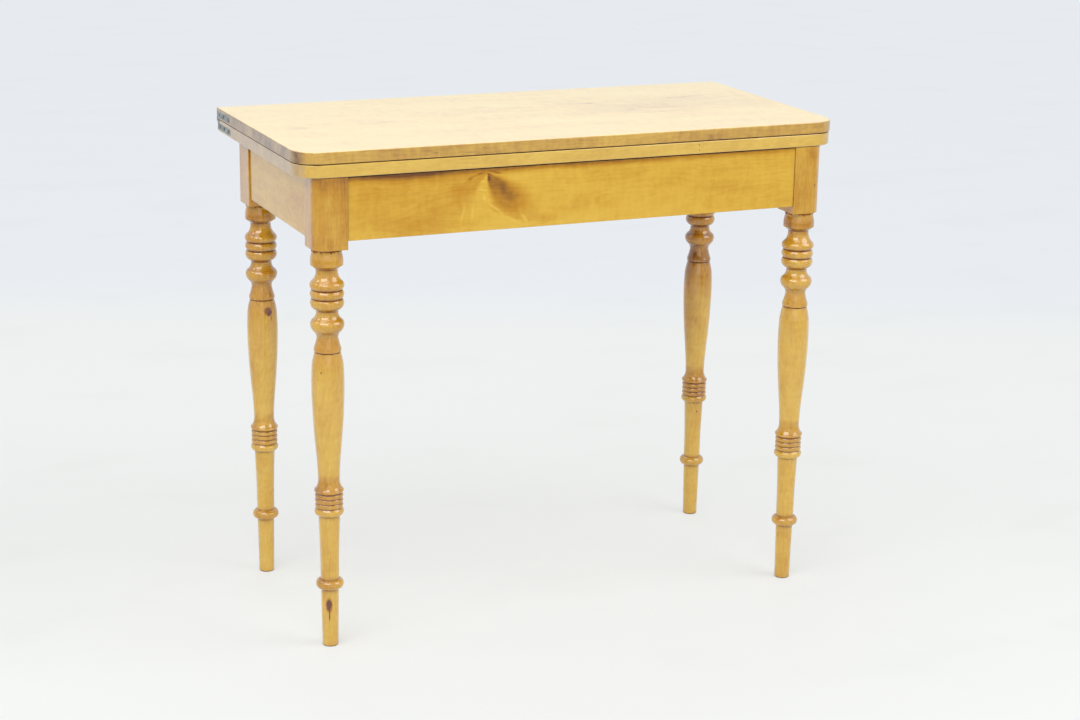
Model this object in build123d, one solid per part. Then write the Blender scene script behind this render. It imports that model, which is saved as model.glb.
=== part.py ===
from build123d import *
import os

# A fold-over games table. Its two leaves are hinged along the back, and turn together through a
# quarter turn on an iron pivot, so that the opened top lies square over the frame. The frame is
# four turned legs tenoned to four aprons, with a card well under the right-hand part of the top.
# X runs along the width, Y from front to back and Z up. The origin is on the floor below the
# middle of the leaves. All sizes are in millimetres.

# Leaves of the top
table_height = 770.0
leaf_width = 892.0
leaf_depth = 427.0
fly_thickness = 18.0
lower_thickness = 19.2
leaf_gap = 0.8
lower_leaf_step = 1.2
leaf_corner_radius = 40.0
leaf_arris = 1.8
back_joint = 0.5

# Frame of legs and aprons
block_side = 51.0
block_height = 107.4
end_overhang = 24.5
front_overhang = 1.0
back_overhang = 38.0
front_block_round = 20.0
block_arris = 2.0
seat_gap = 0.6
apron_height = 93.6
apron_thickness = 20.0
apron_inset = 2.5
apron_drop = 1.1
tenon_thickness = 8.0
tenon_length = 18.0
tenon_shoulder = 12.0

# Turned part of a leg, below its square block
bead_radius = 25.4
ring_count = 3
foot_start_share = 0.457
leg_turning_shares = [
    # shape, height of its top, radius at its top, radius half way up a curve
    ("line", 0.002, 0.486, None),  # eased edge of the foot
    ("line", 0.1485, 0.541, None),  # foot
    ("arc", 0.174, 0.559, 0.839),  # foot bead
    ("arc", 0.338, 0.648, 0.578),  # shin
    ("arc", 0.356, 0.811, 0.880),  # lower bead of the ring group
    ("line", 0.358, 0.775, None),  # groove
    ("rings", 0.395, 0.775, 0.842),  # narrow rings
    ("line", 0.397, 0.811, None),
    ("arc", 0.4065, 0.807, 0.880),  # upper bead of the ring group
    ("arc", 0.427, 0.642, 0.685),  # shoulder
    ("swell", 0.670, 0.974, None),  # vase
    ("arc", 0.716, 0.936, 0.964),  # crown of the vase
    ("arc", 0.7465, 0.775, 0.874),  # closing of the vase
    ("line", 0.7485, 0.735, None),  # groove
    ("line", 0.7505, 0.811, None),
    ("line", 0.757, 0.811, None),  # lip of the cone
    ("arc", 0.782, 0.638, 0.708),  # cone
    ("line", 0.7834, 0.638, None),
    ("arc", 0.7987, 0.810, 0.6745),  # hollow under the bulb
    ("arc", 0.8162, 1.002, 0.960),  # lower half of the bulb
    ("arc", 0.8283, 0.8535, 0.971),  # upper half of the bulb
    ("arc", 0.8445, 0.6555, 0.697),  # hollow above the bulb
    ("line", 0.845, 0.6555, None),
    ("arc", 0.8528, 0.7725, 0.678),  # hollow under the barrel
    ("arc", 0.8765, 0.937, 0.9887),  # lower bead of the barrel
    ("line", 0.8785, 0.875, None),  # groove
    ("line", 0.8805, 0.925, None),
    ("arc", 0.898, 0.925, 0.998),  # middle ring of the barrel
    ("line", 0.900, 0.875, None),  # groove
    ("line", 0.902, 0.9275, None),
    ("arc", 0.9204, 0.905, 1.0135),  # upper bead of the barrel
    ("arc", 0.943, 0.650, 0.7043),  # cove under the collar
    ("line", 0.9495, 0.650, None),
    ("line", 0.960, 0.966, None),  # collar
    ("arc", 0.989, 0.893, 0.962),
    ("line", 1.000, 0.893, None),
]
swell_handle_shares = (0.24, 0.46)
ring_edge_share = 0.811
ring_groove_share = 0.14

# Card-table hinges, let into the ends of the leaves
hinge_length = 74.0
hinge_bar_height = 10.0
hinge_foot_width = 12.0
hinge_thickness = 4.0
upper_bar_margin = 3.0
lower_bar_margin = 5.5
bar_end_round = 3.5
knuckle_radius = 5.0
knuckle_clearance = 0.3
lap_gap = 0.2
hinge_pin_radius = 1.8
hinge_pin_clearance = 0.05
hinge_screw_shares = (0.20, 0.50, 0.85)

# Screws and nails
screw_head_radius = 3.2
screw_shank_radius = 1.6
screw_length = 20.0
short_screw_length = 14.0
slot_width = 0.9
slot_depth = 0.9
nail_radius = 1.2
nail_length = 26.0

# Pivot that the top turns on
rail_width = 60.0
rail_thickness = 24.0
dovetail_length = 12.0
dovetail_neck = 36.0
dovetail_end = 46.0
dovetail_height = 15.0
pivot_plate_length = 92.0
pivot_plate_width = 56.0
pivot_plate_thickness = 3.0
pivot_plate_round = 8.0
plate_screw_inset = 9.0
pivot_head_radius = 13.0
pivot_head_thickness = 3.0
pivot_radius = 8.0
pivot_clearance = 0.08
pivot_end_play = 0.4
pivot_thread_radius = 6.0
pivot_thread_end = 2.5
washer_radius = 14.0
washer_thickness = 2.5
nut_side = 21.0
nut_thickness = 9.0
nut_arris = 1.5

# Card well
well_board_thickness = 8.0
partition_thickness = 12.0
ledger_height = 14.0
ledger_width = 14.0
ledger_lift = 1.5
board_clearance = 0.4
front_ledger_nail_count = 4
side_ledger_nail_count = 3
nail_end_share = 0.12

# Stop block under the lower leaf
stop_width = 40.0
stop_height = 18.0
stop_reach = 217.0
stop_clearance = 0.3
stop_arris = 2.0
stop_screw_share = 0.25

# How far a cut runs past the face that it opens
overrun = 5.0

# Levels and places worked out from the sizes
fly_bottom = table_height - fly_thickness
lower_top = fly_bottom - leaf_gap
lower_bottom = lower_top - lower_thickness
frame_top = lower_bottom - seat_gap
turned_height = frame_top - block_height
apron_top = frame_top - apron_drop
apron_bottom = apron_top - apron_height
lower_width = leaf_width - 2 * lower_leaf_step

front_edge = -leaf_depth / 2
back_edge = leaf_depth / 2
hinge_axis_y = back_edge + back_joint / 2
hinge_axis_z = fly_bottom - leaf_gap / 2

leg_x = leaf_width / 2 - end_overhang - block_side / 2
front_leg_y = front_edge + front_overhang + block_side / 2
back_leg_y = back_edge - back_overhang - block_side / 2
frame_middle_y = (front_leg_y + back_leg_y) / 2

apron_offset = block_side / 2 - apron_inset - apron_thickness / 2
front_apron_y = front_leg_y - apron_offset
back_apron_y = back_leg_y + apron_offset
side_apron_x = leg_x + apron_offset
front_inner_y = front_apron_y + apron_thickness / 2
back_inner_y = back_apron_y - apron_thickness / 2
side_inner_x = side_apron_x - apron_thickness / 2

# After a quarter turn about the pivot the hinge line lies over the middle of the frame, and the
# middle of the opened top over the middle of its depth
pivot_y = (frame_middle_y + hinge_axis_y) / 2
pivot_x = pivot_y - hinge_axis_y

rail_top = apron_top
rail_bottom = rail_top - rail_thickness
rail_right = pivot_x + rail_width / 2
ledger_bottom = apron_bottom + ledger_lift
ledger_top = ledger_bottom + ledger_height
board_top = ledger_top + well_board_thickness
partition_left = rail_right - partition_thickness


def cross_rod(start_x, end_x, y, z, radius):
    """Round rod along X between two places."""
    section = Plane.YZ.offset(start_x) * Pos(y, z) * Circle(radius)
    return extrude(section, end_x - start_x)


def wood_screw(length):
    """Countersunk slotted screw with its head's top face at the origin, pointing down."""
    sink = screw_head_radius - screw_shank_radius
    head = Pos(0, 0, -sink / 2) * Cone(screw_shank_radius, screw_head_radius, sink)
    shank = Pos(0, 0, -(sink + length) / 2) * Cylinder(screw_shank_radius, length - sink)
    slot = Box(3 * screw_head_radius, slot_width, 2 * slot_depth)
    return head + shank - slot


def leaf_blank(width, thickness, bottom):
    """One leaf before its hinges: round front corners, square back edge, eased arrises."""
    outline = Rectangle(width, leaf_depth)
    outline = fillet(outline.vertices().sort_by(Axis.Y)[:2], leaf_corner_radius)
    blank = Pos(0, 0, bottom) * extrude(outline, thickness)
    faces = blank.faces().sort_by(Axis.Z)
    arrises = faces[0].edges() + faces[-1].edges()
    arrises = arrises.filter_by(lambda edge: edge.center().Y < back_edge - leaf_arris)
    return fillet(arrises, leaf_arris)


def hinge_outline(meeting_z, bar_margin, upward):
    """L outline of a hinge plate: a bar along the leaf's end, and a foot up to its meeting face."""
    near_z = meeting_z + upward * bar_margin
    far_z = near_z + upward * hinge_bar_height
    foot_y = back_edge - hinge_foot_width
    end_y = back_edge - hinge_length
    outline = make_face(
        Polyline(
            (back_edge, meeting_z),
            (foot_y, meeting_z),
            (foot_y, near_z),
            (end_y, near_z),
            (end_y, far_z),
            (back_edge, far_z),
            close=True,
        )
    )
    return fillet(outline.vertices().sort_by(Axis.X)[:2], bar_end_round)


def hinge_recess(meeting_z, bar_margin, upward):
    """Block of wood that a right-hand hinge plate takes the place of."""
    inner_x = lower_width / 2 - hinge_thickness
    section = Plane.YZ.offset(inner_x) * hinge_outline(meeting_z, bar_margin, upward)
    return extrude(section, hinge_thickness + lower_leaf_step + overrun)


def hinge_screws(outer_x, meeting_z, bar_margin, upward):
    """The screws of one right-hand hinge plate, heads flush with its outer face."""
    centre_z = meeting_z + upward * (bar_margin + hinge_bar_height / 2)
    return [
        Pos(outer_x, back_edge - share * hinge_length, centre_z) * Rot(0, 90, 0) * wood_screw(screw_length)
        for share in hinge_screw_shares
    ]


def mirrored(solid):
    """The same piece at the other end of the table."""
    return mirror(solid, about=Plane.YZ)


def leg_outline():
    """Half outline of the turned part, from the middle of the foot up to the block."""
    at = (foot_start_share * bead_radius, 0)
    edges = [Line((0, 0), at)]
    for shape, height_share, radius_share, middle_share in leg_turning_shares:
        start = at
        at = (radius_share * bead_radius, height_share * turned_height)
        rise = at[1] - start[1]
        if shape == "line":
            edges.append(Line(start, at))
        elif shape == "arc":
            middle = (middle_share * bead_radius, start[1] + rise / 2)
            edges.append(ThreePointArc(start, middle, at))
        elif shape == "rings":
            edge_radius = ring_edge_share * bead_radius
            ring_rise = rise / ring_count
            for ring in range(ring_count):
                foot_z = start[1] + ring_rise * ring
                head_z = foot_z + ring_rise
                low = (edge_radius, foot_z + ring_groove_share * ring_rise)
                high = (edge_radius, head_z - ring_groove_share * ring_rise)
                crown = (middle_share * bead_radius, (foot_z + head_z) / 2)
                edges.append(Line((at[0], foot_z), low))
                edges.append(ThreePointArc(low, crown, high))
                edges.append(Line(high, (at[0], head_z)))
        elif shape == "swell":
            low = (start[0], start[1] + swell_handle_shares[0] * rise)
            high = (at[0], at[1] - swell_handle_shares[1] * rise)
            edges.append(Bezier(start, low, high, at))
    edges.append(Line(at, (0, turned_height)))
    edges.append(Line((0, turned_height), (0, 0)))
    return edges


def leg_block(side, round_corner):
    """Square block of a leg, with its outer front corner rounded by its own radius."""
    block = Box(block_side, block_side, block_height, align=(Align.CENTER, Align.CENTER, Align.MIN))
    for place, radius in ((slice(-1, None), round_corner), (slice(0, 3), block_arris)):
        uprights = block.edges().filter_by(Axis.Z)
        uprights = uprights.sort_by(lambda edge: side * edge.center().X - edge.center().Y)
        block = fillet(uprights[place], radius)
    return block


def leg_blank(side, y, round_corner):
    """One leg before its mortises: the turned part with its square block on top."""
    turned = revolve(Plane.XZ * make_face(Wire(leg_outline())), Axis.Z)
    leg = turned + Pos(0, 0, turned_height) * leg_block(side, round_corner)
    return Pos(side * leg_x, y, 0) * leg


def apron_board(length):
    """Apron along X, centred, from its bottom edge up, with a tenon at each end."""
    bottom = (Align.CENTER, Align.CENTER, Align.MIN)
    board = Box(length, apron_thickness, apron_height, align=bottom)
    tenon_height = apron_height - 2 * tenon_shoulder
    tenons = Box(length + 2 * tenon_length, tenon_thickness, tenon_height, align=bottom)
    return board + Pos(0, 0, tenon_shoulder) * tenons


def dovetail(y_face, outward):
    """Tail of the pivot rail that drops into the top edge of an apron."""
    end_y = y_face + outward * dovetail_length
    tail = make_face(
        Polyline(
            (pivot_x - dovetail_neck / 2, y_face),
            (pivot_x + dovetail_neck / 2, y_face),
            (pivot_x + dovetail_end / 2, end_y),
            (pivot_x - dovetail_end / 2, end_y),
            close=True,
        )
    )
    return Pos(0, 0, rail_top - dovetail_height) * extrude(tail, dovetail_height, dir=(0, 0, 1))


def upright_rod(x, y, bottom, top, radius):
    """Round rod along Z between two levels."""
    return Pos(x, y, (bottom + top) / 2) * Cylinder(radius, top - bottom)


def board(x_span, y_span, z_span):
    """Square-edged board between pairs of places."""
    spans = (x_span, y_span, z_span)
    middle = Pos(*[(low + high) / 2 for low, high in spans])
    return middle * Box(*[high - low for low, high in spans])


def spread(low, high, count):
    """Places of nails along a strip, the same share of it in from either end."""
    first = low + nail_end_share * (high - low)
    last = high - nail_end_share * (high - low)
    return [first + (last - first) * step / (count - 1) for step in range(count)]


def ledger_nail(x, y, outward_angle):
    """Nail through a ledger into its apron, along the horizontal direction of the angle."""
    rod = Rot(0, 90, 0) * Cylinder(nail_radius, nail_length, align=(Align.CENTER, Align.CENTER, Align.MIN))
    return Pos(x, y, (ledger_bottom + ledger_top) / 2) * Rot(0, 0, outward_angle) * rod


# Leaves, hinges and their screws
fly_meeting_z = fly_bottom
lower_meeting_z = lower_top
lap_x = lower_width / 2 - hinge_thickness / 2
plate_inner_x = lower_width / 2 - hinge_thickness

fly_blank = leaf_blank(leaf_width, fly_thickness, fly_bottom)
lower_blank = leaf_blank(lower_width, lower_thickness, lower_bottom)
upper_recess = hinge_recess(fly_meeting_z, upper_bar_margin, 1)
lower_recess = hinge_recess(lower_meeting_z, lower_bar_margin, -1)
upper_screws = hinge_screws(leaf_width / 2, fly_meeting_z, upper_bar_margin, 1)
lower_screws = hinge_screws(lower_width / 2, lower_meeting_z, lower_bar_margin, -1)

# The lower plate's knuckle is the outer half of the lap, and the upper plate's the inner half
knuckle_place = (hinge_axis_y, hinge_axis_z)
lower_knuckle = cross_rod(lap_x + lap_gap / 2, lower_width / 2, *knuckle_place, knuckle_radius)
upper_knuckle = cross_rod(plate_inner_x, lap_x - lap_gap / 2, *knuckle_place, knuckle_radius)
clear_radius = knuckle_radius + knuckle_clearance
lower_knuckle_room = cross_rod(lap_x - lap_gap / 2, leaf_width / 2 + overrun, *knuckle_place, clear_radius)
upper_knuckle_room = cross_rod(plate_inner_x - overrun, lap_x + lap_gap / 2, *knuckle_place, clear_radius)
hinge_pin = cross_rod(plate_inner_x, lower_width / 2, *knuckle_place, hinge_pin_radius)
pin_bore = cross_rod(
    plate_inner_x - overrun, lap_x, *knuckle_place, hinge_pin_radius + hinge_pin_clearance
)

upper_plate = (fly_blank & upper_recess) - lower_knuckle_room + upper_knuckle - pin_bore - upper_screws
lower_plate = (lower_blank & lower_recess) - upper_knuckle_room + lower_knuckle - hinge_pin - lower_screws

# Stop block: its back face meets the back apron with the top closed, and its front face meets
# the pivot rail after the quarter turn
stop_back_y = back_inner_y - stop_clearance
stop_front_y = pivot_y + rail_width / 2 + stop_clearance
stop_x = pivot_x + stop_reach
stop_middle_y = (stop_back_y + stop_front_y) / 2
stop_bottom = lower_bottom - stop_height
stop_block = board(
    (stop_x - stop_width / 2, stop_x + stop_width / 2),
    (stop_front_y, stop_back_y),
    (stop_bottom, lower_bottom),
)
stop_block = chamfer(stop_block.faces().sort_by(Axis.Z)[0].edges(), stop_arris)
stop_screws = [
    Pos(stop_x + side * (0.5 - stop_screw_share) * stop_width, stop_middle_y, stop_bottom)
    * Rot(180, 0, 0)
    * wood_screw(stop_height + short_screw_length)
    for side in (-1, 1)
]

# Pivot: a plate let into the underside of the lower leaf, and the bolt that hangs from it
plate_top = lower_bottom + pivot_plate_thickness
plate_outline = RectangleRounded(pivot_plate_length, pivot_plate_width, pivot_plate_round)
pivot_plate = Pos(pivot_x, pivot_y, lower_bottom) * extrude(plate_outline, pivot_plate_thickness)
plate_screws = [
    Pos(
        pivot_x + side_x * (pivot_plate_length / 2 - plate_screw_inset),
        pivot_y + side_y * (pivot_plate_width / 2 - plate_screw_inset),
        lower_bottom,
    )
    * Rot(180, 0, 0)
    * wood_screw(short_screw_length)
    for side_x in (-1, 1)
    for side_y in (-1, 1)
]
shoulder_z = rail_bottom - pivot_end_play
washer_bottom = shoulder_z - washer_thickness
nut_bottom = washer_bottom - nut_thickness
head_top = plate_top + pivot_head_thickness
pivot_bolt = (
    upright_rod(pivot_x, pivot_y, plate_top, head_top, pivot_head_radius)
    + upright_rod(pivot_x, pivot_y, shoulder_z, plate_top, pivot_radius)
    + upright_rod(pivot_x, pivot_y, nut_bottom - pivot_thread_end, shoulder_z, pivot_thread_radius)
)
washer = upright_rod(pivot_x, pivot_y, washer_bottom, shoulder_z, washer_radius) - pivot_bolt
nut = Box(nut_side, nut_side, nut_thickness)
nut = fillet(nut.edges().filter_by(Axis.Z), nut_arris)
nut = Pos(pivot_x, pivot_y, (nut_bottom + washer_bottom) / 2) * nut - pivot_bolt
head_recess = upright_rod(pivot_x, pivot_y, lower_bottom, head_top, pivot_head_radius)

lower_leaf = lower_blank - lower_recess - mirrored(lower_recess) - lower_screws
lower_leaf = lower_leaf - [mirrored(screw) for screw in lower_screws]
lower_leaf = lower_leaf - pivot_plate - head_recess - plate_screws - stop_screws
fly_leaf = fly_blank - upper_recess - mirrored(upper_recess) - upper_screws
fly_leaf = fly_leaf - [mirrored(screw) for screw in upper_screws]
pivot_plate = pivot_plate - pivot_bolt - plate_screws
stop_block = stop_block - stop_screws

# Aprons and the rail between them that carries the pivot
front_apron = Pos(0, front_apron_y, apron_bottom) * apron_board(2 * leg_x - block_side)
back_apron = Pos(0, back_apron_y, apron_bottom) * apron_board(2 * leg_x - block_side)
side_apron = apron_board(back_leg_y - front_leg_y - block_side)
right_apron = Pos(side_apron_x, frame_middle_y, apron_bottom) * Rot(0, 0, 90) * side_apron
left_apron = Pos(-side_apron_x, frame_middle_y, apron_bottom) * Rot(0, 0, 90) * side_apron
tails = [dovetail(front_inner_y, -1), dovetail(back_inner_y, 1)]
pivot_rail = board(
    (pivot_x - rail_width / 2, rail_right), (front_inner_y, back_inner_y), (rail_bottom, rail_top)
)
pivot_rail = pivot_rail + tails
pivot_rail = pivot_rail - upright_rod(
    pivot_x, pivot_y, rail_bottom - overrun, rail_top + overrun, pivot_radius + pivot_clearance
)
front_apron = front_apron - tails
back_apron = back_apron - tails

# Card well: a board on three ledgers, and a partition under the pivot rail
well_board = board(
    (partition_left, side_inner_x - board_clearance),
    (front_inner_y + board_clearance, back_inner_y - board_clearance),
    (ledger_top, board_top),
)
block_room = block_side / 2 + board_clearance
for leg_y in (front_leg_y, back_leg_y):
    well_board = well_board - board(
        (leg_x - block_room, leg_x + block_room),
        (leg_y - block_room, leg_y + block_room),
        (ledger_top - overrun, board_top + overrun),
    )
partition = board(
    (partition_left, rail_right),
    (front_inner_y + board_clearance, back_inner_y - board_clearance),
    (board_top, rail_bottom),
)
ledger_span_x = (partition_left, leg_x - block_side / 2)
ledger_span_y = (front_leg_y + block_side / 2, back_leg_y - block_side / 2)
ledger_span_z = (ledger_bottom, ledger_top)
front_nail_y = front_inner_y + ledger_width
back_nail_y = back_inner_y - ledger_width
side_nail_x = side_inner_x - ledger_width
front_nails = [ledger_nail(x, front_nail_y, -90) for x in spread(*ledger_span_x, front_ledger_nail_count)]
back_nails = [ledger_nail(x, back_nail_y, 90) for x in spread(*ledger_span_x, front_ledger_nail_count)]
right_nails = [ledger_nail(side_nail_x, y, 0) for y in spread(*ledger_span_y, side_ledger_nail_count)]
front_ledger = board(ledger_span_x, (front_inner_y, front_nail_y), ledger_span_z) - front_nails
back_ledger = board(ledger_span_x, (back_nail_y, back_inner_y), ledger_span_z) - back_nails
right_ledger = board((side_nail_x, side_inner_x), ledger_span_y, ledger_span_z) - right_nails
front_apron = front_apron - front_nails
back_apron = back_apron - back_nails
right_apron = right_apron - right_nails

# Legs, mortised for the aprons' tenons
aprons = [front_apron, back_apron, left_apron, right_apron]
front_left_leg = leg_blank(-1, front_leg_y, front_block_round) - aprons
front_right_leg = leg_blank(1, front_leg_y, front_block_round) - aprons
back_left_leg = leg_blank(-1, back_leg_y, block_arris) - aprons
back_right_leg = leg_blank(1, back_leg_y, block_arris) - aprons

nodes = {
    "fly_leaf": [fly_leaf],
    "lower_leaf": [lower_leaf],
    "front_left_leg": [front_left_leg],
    "front_right_leg": [front_right_leg],
    "back_left_leg": [back_left_leg],
    "back_right_leg": [back_right_leg],
    "front_apron": [front_apron],
    "back_apron": [back_apron],
    "left_apron": [left_apron],
    "right_apron": [right_apron],
    "pivot_rail": [pivot_rail],
    "well_board": [well_board],
    "well_partition": [partition],
    "front_ledger": [front_ledger],
    "back_ledger": [back_ledger],
    "right_ledger": [right_ledger],
    "ledger_nails": front_nails + back_nails + right_nails,
    "right_upper_hinge_plate": [upper_plate],
    "left_upper_hinge_plate": [mirrored(upper_plate)],
    "right_lower_hinge_plate": [lower_plate],
    "left_lower_hinge_plate": [mirrored(lower_plate)],
    "right_hinge_pin": [hinge_pin],
    "left_hinge_pin": [mirrored(hinge_pin)],
    "upper_hinge_screws": upper_screws + [mirrored(screw) for screw in upper_screws],
    "lower_hinge_screws": lower_screws + [mirrored(screw) for screw in lower_screws],
    "pivot_plate": [pivot_plate],
    "pivot_plate_screws": plate_screws,
    "pivot_bolt": [pivot_bolt],
    "pivot_washer": [washer],
    "pivot_nut": [nut],
    "stop_block": [stop_block],
    "stop_screws": stop_screws,
}

os.makedirs("parts", exist_ok=True)
for name, pieces in nodes.items():
    solids = [solid for piece in pieces for solid in piece.solids()]
    export_step(solids[0] if len(solids) == 1 else Compound(children=solids), f"parts/{name}.step")
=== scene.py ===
"""Looks of a fold-over games table of varnished birch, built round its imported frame.

Every rigid piece keeps the frame's shape and gets a finish of its own: varnished birch with the
figure of its own board, bare wood inside, forged iron at the hinges and the pivot. Two small things
that the frame leaves out are modelled here: the heads of the nails, and the torn grain at the
shoulders of the turnings. Lengths are in metres, and in the wood's finishes and marks in
millimetres.
"""

import logging
import math
import random
from dataclasses import dataclass
from enum import Enum
from functools import partial, reduce

import bmesh
import bpy
from mathutils import Matrix, Vector
from mathutils.bvhtree import BVHTree


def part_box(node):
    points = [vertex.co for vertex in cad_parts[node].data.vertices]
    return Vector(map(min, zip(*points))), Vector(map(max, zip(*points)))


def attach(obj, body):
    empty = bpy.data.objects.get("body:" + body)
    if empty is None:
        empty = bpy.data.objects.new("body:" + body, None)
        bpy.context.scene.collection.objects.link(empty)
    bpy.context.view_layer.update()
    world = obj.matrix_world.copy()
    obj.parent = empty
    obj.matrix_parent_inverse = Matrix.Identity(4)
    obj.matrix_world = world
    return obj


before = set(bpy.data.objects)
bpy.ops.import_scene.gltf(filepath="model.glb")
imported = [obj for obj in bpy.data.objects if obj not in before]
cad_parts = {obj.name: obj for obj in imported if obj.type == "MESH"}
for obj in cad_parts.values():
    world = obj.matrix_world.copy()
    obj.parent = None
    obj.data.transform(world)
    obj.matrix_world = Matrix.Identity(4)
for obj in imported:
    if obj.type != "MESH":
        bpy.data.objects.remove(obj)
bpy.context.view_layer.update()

log = logging.getLogger("games_table")

MILLIMETRE = 0.001
TO_MILLIMETRES = (1000.0, 1000.0, 1000.0)
LEGS = ("front_left_leg", "front_right_leg", "back_left_leg", "back_right_leg")
TONE_PLACES = (0.0, 0.3, 0.5, 0.75, 1.0)
RING_TAPER = 0.04
FLECK_DEPTH = 0.14
CREVICE_SPAN = 0.32
DIRT_ROUGHNESS = 0.25
# A mark that keeps exactly to its place
CRISP = {"edge": 0.3, "waver": 0.0}

Socket = bpy.types.NodeSocket
Value = float | tuple | Socket
Palette = tuple[tuple[int, int, int], ...]


class Grain(Enum):
    """Which way a board's grain runs, as the number of the frame's axis."""

    WIDTH = 0
    DEPTH = 1
    HEIGHT = 2


class Side(Enum):
    """A side of a board, as the direction that its face looks."""

    ABOVE = (0, 0, 1)
    BELOW = (0, 0, -1)
    FRONT = (0, -1, 0)
    BACK = (0, 1, 0)
    LEFT = (-1, 0, 0)
    RIGHT = (1, 0, 0)


class Layer(Enum):
    """A layer of the wood's unevenness: its size along and across the grain, and its detail."""

    WAVER = (210, 55, 2.0)
    BLOTCH = (190, 52, 2.0)
    FIGURE = (52, 17, 3.0)
    MOTTLE = (10, 4, 3.0)
    STREAK = (70, 1.4, 3.0)
    CURL = (8, 34, 2.0)
    FLECK = (7, 0.9, 1.0)
    PORES = (22, 0.7, 2.0)
    RIPPLE = (34, 9, 2.0)


@dataclass(frozen=True)
class Tint:
    """A colour as it is seen, in parts of 255."""

    red: int
    green: int
    blue: int

    def light(self) -> tuple[float, float, float, float]:
        """The same colour in amounts of light, as a shader takes it.

        Returns:
            Red, green, blue and full cover.
        """
        shares = [part / 255 for part in (self.red, self.green, self.blue)]
        bent = [s / 12.92 if s <= 0.04045 else ((s + 0.055) / 1.055) ** 2.4 for s in shares]
        return (*bent, 1.0)


class ShaderGraph:
    """The node tree of a material or a world, written as short calls that hand sockets on."""

    def __init__(self, owner: bpy.types.Material | bpy.types.World) -> None:
        """Start an empty tree.

        Args:
            owner: The material or the world.
        """
        owner.use_nodes = True
        self.tree = owner.node_tree
        self.tree.nodes.clear()

    def add(self, kind: str, inputs: dict[int | str, Value], **settings: object) -> bpy.types.Node:
        """Add one node.

        Args:
            kind: Type of the node.
            inputs: Values, or sockets to link, by input.
            settings: Properties of the node itself.

        Returns:
            The new node.
        """
        node = self.tree.nodes.new(kind)
        for key, setting in settings.items():
            setattr(node, key, setting)
        for key, value in inputs.items():
            if isinstance(value, bpy.types.NodeSocket):
                self.tree.links.new(value, node.inputs[key])
            else:
                node.inputs[key].default_value = value
        return node

    def math(self, operation: str, *terms: Value) -> Socket:
        """Result of a sum on numbers, from its kind and its terms in order."""
        return self.add("ShaderNodeMath", dict(enumerate(terms)), operation=operation).outputs[0]

    def total(self, *terms: Value) -> Socket:
        """Sum of two numbers or more."""
        return reduce(partial(self.math, "ADD"), terms)

    def product(self, *terms: Value) -> Socket:
        """Product of two numbers or more."""
        return reduce(partial(self.math, "MULTIPLY"), terms)

    def vector(self, operation: str, *terms: Value) -> Socket:
        """Result of a sum on vectors, which is a number for a length or a dot product."""
        node = self.add("ShaderNodeVectorMath", dict(enumerate(terms)), operation=operation)
        return node.outputs["Value" if operation in ("LENGTH", "DOT_PRODUCT") else "Vector"]

    def step(self, value: Socket, start: float, end: float) -> Socket:
        """A soft step.

        Args:
            value: What is looked at.
            start: Where the step is still 0.
            end: Where the step has reached 1; it may lie below start.

        Returns:
            0 to 1.
        """
        inputs = {"Value": value, "From Min": start, "From Max": end}
        node = self.add("ShaderNodeMapRange", inputs, interpolation_type="SMOOTHSTEP")
        return node.outputs["Result"]

    def mix(self, share: Value, first: Value, second: Value, blend: str = "MIX") -> Socket:
        """Blend of two colours.

        Args:
            share: How much of the second one.
            first: Colour at share 0.
            second: Colour at share 1.
            blend: How they are blended.

        Returns:
            The blend.
        """
        inputs = {0: share, 6: first, 7: second}
        node = self.add("ShaderNodeMix", inputs, data_type="RGBA", blend_type=blend)
        return node.outputs[2]

    def ramp(self, value: Socket, palette: Palette) -> Socket:
        """Colour from a scale of tones.

        Args:
            value: Place on the scale.
            palette: The tones.

        Returns:
            The colour at that place.
        """
        node = self.add("ShaderNodeValToRGB", {0: value})
        elements = node.color_ramp.elements
        while len(elements) < len(TONE_PLACES):
            elements.new(0.5)
        for element, place, tone in zip(elements, TONE_PLACES, palette):
            element.position = place
            element.color = Tint(*tone).light()
        return node.outputs["Color"]

    def noise(self, place: Socket, size: tuple, detail: float = 2.0, output: str = "Fac") -> Socket:
        """Cloudy noise.

        Args:
            place: Where it is read.
            size: Size of its clouds along each axis, in the units of place.
            detail: How many finer layers lie on it.
            output: Fac for a number around one half, Color for three of them.

        Returns:
            The noise.
        """
        shrunk = self.vector("DIVIDE", place, size)
        inputs = {"Vector": shrunk, "Scale": 1.0, "Detail": detail}
        return self.add("ShaderNodeTexNoise", inputs).outputs[output]

    def sway(self, noise: Socket, amount: float) -> Socket:
        """Noise around one half, turned into a change to and fro of this whole size."""
        return self.math("MULTIPLY_ADD", noise, amount, -amount / 2)

    def occlusion(self, reach: float) -> Socket:
        """How open a point lies, from 0 to 1, to what is within a reach in millimetres."""
        inputs = {"Distance": reach * MILLIMETRE}
        return self.add("ShaderNodeAmbientOcclusion", inputs, samples=6).outputs["AO"]

    def bevel(self, radius: float) -> Socket:
        """Normal of the surface with its edges softened by a radius in millimetres."""
        return self.add("ShaderNodeBevel", {"Radius": radius * MILLIMETRE}, samples=4).outputs[0]

    def finish(self, height: Socket, bevel: Socket, inputs: dict[str, Value]) -> None:
        """Close the tree with its surface.

        Args:
            height: Height of the fine relief, in millimetres.
            bevel: Normal that the relief tilts.
            inputs: Colour, roughness and gloss.
        """
        relief = {"Height": height, "Distance": MILLIMETRE, "Strength": 1.0, "Normal": bevel}
        normal = self.add("ShaderNodeBump", relief).outputs[0]
        surface = self.add("ShaderNodeBsdfPrincipled", inputs | {"Normal": normal})
        self.add("ShaderNodeOutputMaterial", {"Surface": surface.outputs[0]})


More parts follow.
